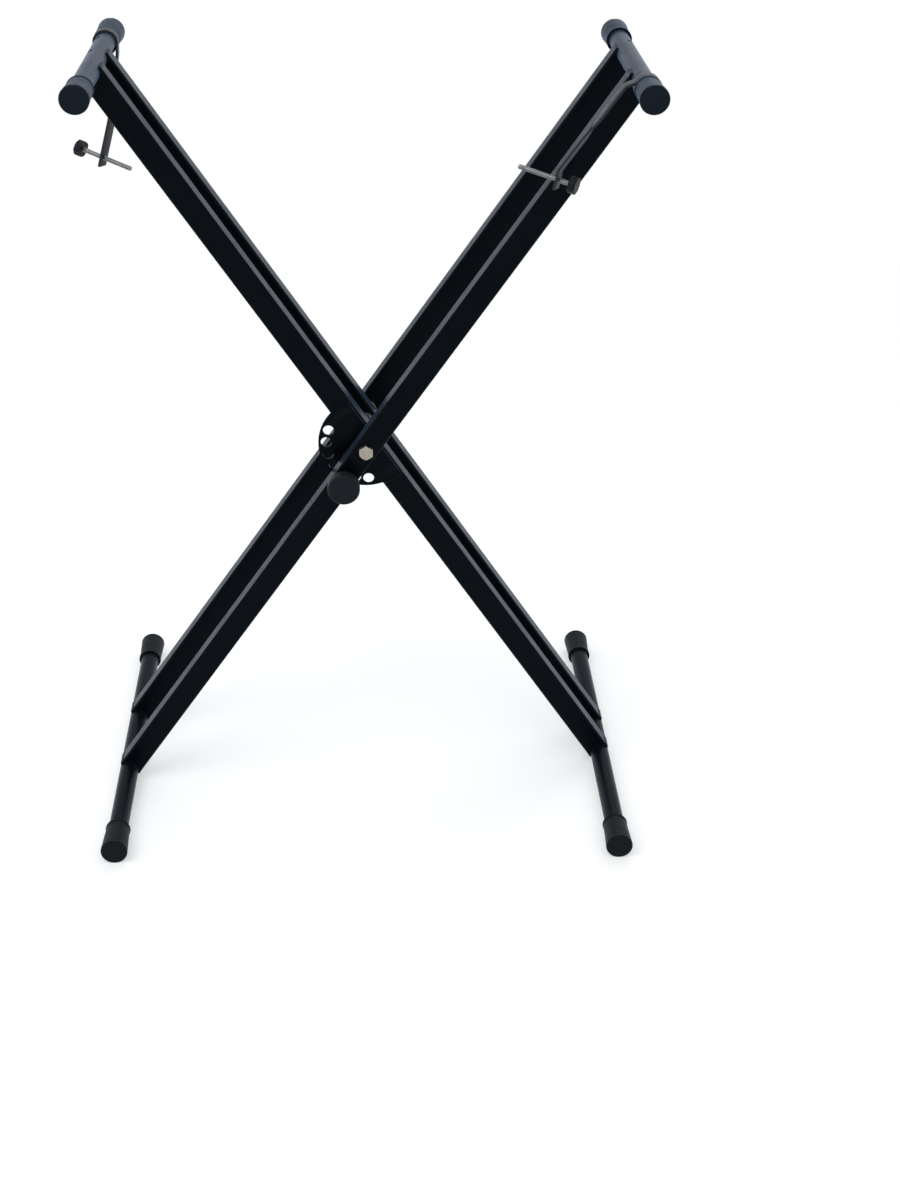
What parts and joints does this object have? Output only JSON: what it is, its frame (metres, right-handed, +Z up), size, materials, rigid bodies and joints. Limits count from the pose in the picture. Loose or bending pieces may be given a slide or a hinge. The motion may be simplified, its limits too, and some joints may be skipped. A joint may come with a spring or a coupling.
{
  "type": "keyboard stand",
  "caption": "Folding x-style keyboard stand with double-braced legs, a lock plate with a pull pin and two swinging clamp arms with thumb screws.",
  "frame": {"origin": "middle of the bounding box at floor level, with the stand open in its stored pose", "axes": "+X to the right and +Y to the back seen from the side of the lock knob, +Z up; the pivot's axis lies along Y"},
  "size_m": [0.7128, 0.508, 0.9885],
  "materials": {
    "outer_tube_front": "semi-gloss black powder coat",
    "outer_tube_rear": "semi-gloss black powder coat",
    "outer_top_bar": "semi-gloss black powder coat",
    "outer_foot_bar": "semi-gloss black powder coat",
    "inner_tube_front": "semi-gloss black powder coat",
    "inner_tube_rear": "semi-gloss black powder coat",
    "inner_top_bar": "semi-gloss black powder coat",
    "inner_foot_bar": "semi-gloss black powder coat",
    "lock_plate": "semi-gloss black powder coat",
    "outer_top_cap_front": "matt",
    "outer_top_cap_rear": "matt",
    "outer_foot_cap_front": "matt",
    "outer_foot_cap_rear": "matt",
    "inner_top_cap_front": "matt",
    "inner_top_cap_rear": "matt",
    "inner_foot_cap_front": "matt",
    "inner_foot_cap_rear": "matt",
    "plunger_housing": "zinc plated",
    "lock_pin": "zinc plated",
    "lock_knob": "moulded black",
    "pivot_bolt_front": "zinc plated",
    "pivot_bolt_rear": "zinc plated",
    "nut_washer_front": "zinc plated",
    "nut_washer_rear": "zinc plated",
    "pivot_nut_front": "zinc plated",
    "pivot_nut_rear": "zinc plated",
    "pivot_spacer": "grey nylon",
    "left_arm": "dark grey",
    "left_screw": "zinc plated",
    "left_knob": "moulded black",
    "right_arm": "dark grey",
    "right_screw": "zinc plated",
    "right_knob": "moulded black"
  },
  "bodies": {
    "outer_frame": {"outer_tube_front": "outer_tube_front", "outer_tube_rear": "outer_tube_rear", "outer_top_bar": "outer_top_bar", "outer_foot_bar": "outer_foot_bar", "outer_top_cap_front": "outer_top_cap_front", "outer_top_cap_rear": "outer_top_cap_rear", "outer_foot_cap_front": "outer_foot_cap_front", "outer_foot_cap_rear": "outer_foot_cap_rear", "plunger_housing": "plunger_housing", "pivot_bolt_front": "pivot_bolt_front", "pivot_bolt_rear": "pivot_bolt_rear", "nut_washer_front": "nut_washer_front", "nut_washer_rear": "nut_washer_rear", "pivot_nut_front": "pivot_nut_front", "pivot_nut_rear": "pivot_nut_rear", "pivot_spacer": "pivot_spacer"},
    "inner_frame": {"inner_tube_front": "inner_tube_front", "inner_tube_rear": "inner_tube_rear", "inner_top_bar": "inner_top_bar", "inner_foot_bar": "inner_foot_bar", "inner_top_cap_front": "inner_top_cap_front", "inner_top_cap_rear": "inner_top_cap_rear", "inner_foot_cap_front": "inner_foot_cap_front", "inner_foot_cap_rear": "inner_foot_cap_rear", "lock_plate": "lock_plate"},
    "lock_plunger": {"lock_pin": "lock_pin", "lock_knob": "lock_knob"},
    "left_clamp": {"left_arm": "left_arm"},
    "left_thumb_screw": {"left_screw": "left_screw", "left_knob": "left_knob"},
    "right_clamp": {"right_arm": "right_arm"},
    "right_thumb_screw": {"right_screw": "right_screw", "right_knob": "right_knob"}
  },
  "joints": [
    {"name": "fold", "type": "hinge", "parent": "outer_frame", "child": "inner_frame", "pos_m": [0.0146, 0, 0.49796], "axis": [0, -1, 0], "range_deg": [-64, 76]},
    {"name": "lock_pull", "type": "slide", "parent": "outer_frame", "child": "lock_plunger", "axis": [0, 1, 0], "range_m": [0, 0.0048], "stiffness_N_per_m": 500, "springref_m": 0.02},
    {"name": "left_arm_swing", "type": "hinge", "parent": "inner_frame", "child": "left_clamp", "pos_m": [-0.30498, 0.1145, 0.97175], "axis": [0, -1, 0], "range_deg": [-90, 110]},
    {"name": "right_arm_swing", "type": "hinge", "parent": "outer_frame", "child": "right_clamp", "pos_m": [0.33418, -0.1145, 0.97175], "axis": [0, 1, 0], "range_deg": [-90, 110]},
    {"name": "left_screw_drive", "type": "slide", "parent": "left_clamp", "child": "left_thumb_screw", "axis": [0.8702, -0.4384, -0.225], "range_m": [-0.038, 0.0285]},
    {"name": "right_screw_drive", "type": "slide", "parent": "right_clamp", "child": "right_thumb_screw", "axis": [-0.8775, 0.4384, 0.1945], "range_m": [-0.045, 0.0133]}
  ]
}
